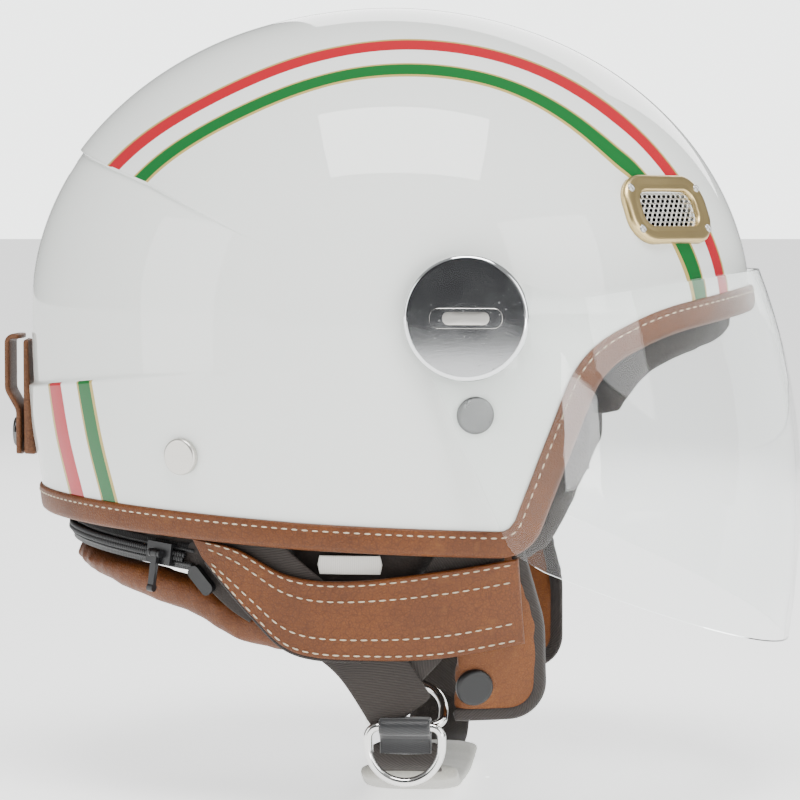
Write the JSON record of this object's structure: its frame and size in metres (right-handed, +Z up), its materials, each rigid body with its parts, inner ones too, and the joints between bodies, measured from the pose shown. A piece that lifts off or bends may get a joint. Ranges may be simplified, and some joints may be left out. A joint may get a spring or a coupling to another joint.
{
  "type": "open face motorcycle helmet",
  "caption": "Open face motorcycle helmet with a tilting clear visor, leather trim and ear flaps, zipped neck roll, brow vents and a double ring chin strap.",
  "frame": {"origin": "where the visor pivot axis crosses the plane of symmetry, near the middle of the head space", "axes": "+X to the front of the helmet, +Y to the rider's left, +Z up"},
  "size_m": [0.3134, 0.2524, 0.3015],
  "materials": {
    "shell_paint": "gloss clear coat over white, with printed stripes",
    "trim_leather": "tan grained leather with cream stitching",
    "pad_fabric": "dark brown brushed fabric",
    "liner_foam": "moulded bead foam",
    "webbing": "ribbed webbing",
    "chrome": "polished",
    "dark_nickel": "dark polished",
    "satin_silver": "satin",
    "brass_frame": "satin",
    "plain_steel": "plain",
    "visor_clear": "clear",
    "black_nylon": "satin moulded",
    "zip_fabric": "woven tape",
    "sleeve_fabric": "brushed, light grey",
    "label_cloth": "plain woven"
  },
  "bodies": {
    "root": {"anchor_plates": "plain_steel", "brow_pad": "pad_fabric", "cheek_pad_left": "pad_fabric", "cheek_pad_right": "pad_fabric", "chin_sleeve": "sleeve_fabric", "chin_strap": "webbing", "crown_lining": "pad_fabric", "ear_flap_left": "trim_leather", "ear_flap_right": "trim_leather", "edge_trim": "trim_leather", "flap_band_left": "trim_leather", "flap_band_right": "trim_leather", "flap_binding_left": "zip_fabric", "flap_binding_right": "zip_fabric", "flap_snap_left": "black_nylon", "flap_snap_right": "black_nylon", "front_rivet_caps": "dark_nickel", "impact_liner": "liner_foam", "loop_base": "trim_leather", "loop_stud": "plain_steel", "neck_gusset": "pad_fabric", "neck_roll": "trim_leather", "outer_shell": "shell_paint", "pivot_cap_left": "chrome", "pivot_cap_right": "chrome", "pivot_nuts": "plain_steel", "pivot_screws": "plain_steel", "pivot_washers": "plain_steel", "rear_rivet_caps": "satin_silver", "rear_vent_grille": "black_nylon", "ring_keeper": "zip_fabric", "size_label_left": "label_cloth", "size_label_right": "label_cloth", "strap_front_left": "webbing", "strap_front_right": "webbing", "strap_rear_left": "webbing", "strap_rear_right": "webbing", "strap_rivets": "plain_steel", "vent_frame_left": "brass_frame", "vent_frame_right": "brass_frame", "vent_mesh_left": "satin_silver", "vent_mesh_right": "satin_silver", "vent_screws": "brass_frame", "visor_base_left": "black_nylon", "visor_base_right": "black_nylon", "zip_chain": "black_nylon", "zip_stops": "black_nylon", "zip_tape": "zip_fabric"},
    "visor": {"visor": "visor_clear"},
    "d_ring_lower": {"d_ring_lower": "chrome"},
    "d_ring_upper": {"d_ring_upper": "chrome"},
    "zip_slider": {"zip_slider": "black_nylon"},
    "zip_puller": {"zip_puller": "black_nylon"},
    "strap_loop_leaf": {"loop_leaf": "trim_leather", "loop_snap_cap": "black_nylon"}
  },
  "joints": [
    {"name": "visor_tilt", "type": "hinge", "parent": "root", "child": "visor", "pos_m": [0, 0, 0], "axis": [0, -1, 0], "range_deg": [0, 50]},
    {"name": "ring_swing_lower", "type": "hinge", "parent": "root", "child": "d_ring_lower", "pos_m": [-0.0245, -0.0956, -0.1515], "axis": [-1, 0, 0], "range_deg": [0, 110]},
    {"name": "ring_swing_upper", "type": "hinge", "parent": "root", "child": "d_ring_upper", "pos_m": [-0.0245, -0.091, -0.1515], "axis": [-1, 0, 0], "range_deg": [-12, 22]},
    {"name": "zip_travel", "type": "hinge", "parent": "root", "child": "zip_slider", "pos_m": [-0.0687, 0, -0.0946], "axis": [0.1167, 0, 0.9932], "range_deg": [-118, 0]},
    {"name": "puller_lift", "type": "hinge", "parent": "zip_slider", "child": "zip_puller", "pos_m": [-0.11846, -0.08678, -0.08876], "axis": [-0.8601, 0.5, 0.101], "range_deg": [0, 95]},
    {"name": "strap_loop_open", "type": "hinge", "parent": "root", "child": "strap_loop_leaf", "pos_m": [-0.184, 0, -0.011], "axis": [0, 1, 0], "range_deg": [0, 115]}
  ]
}
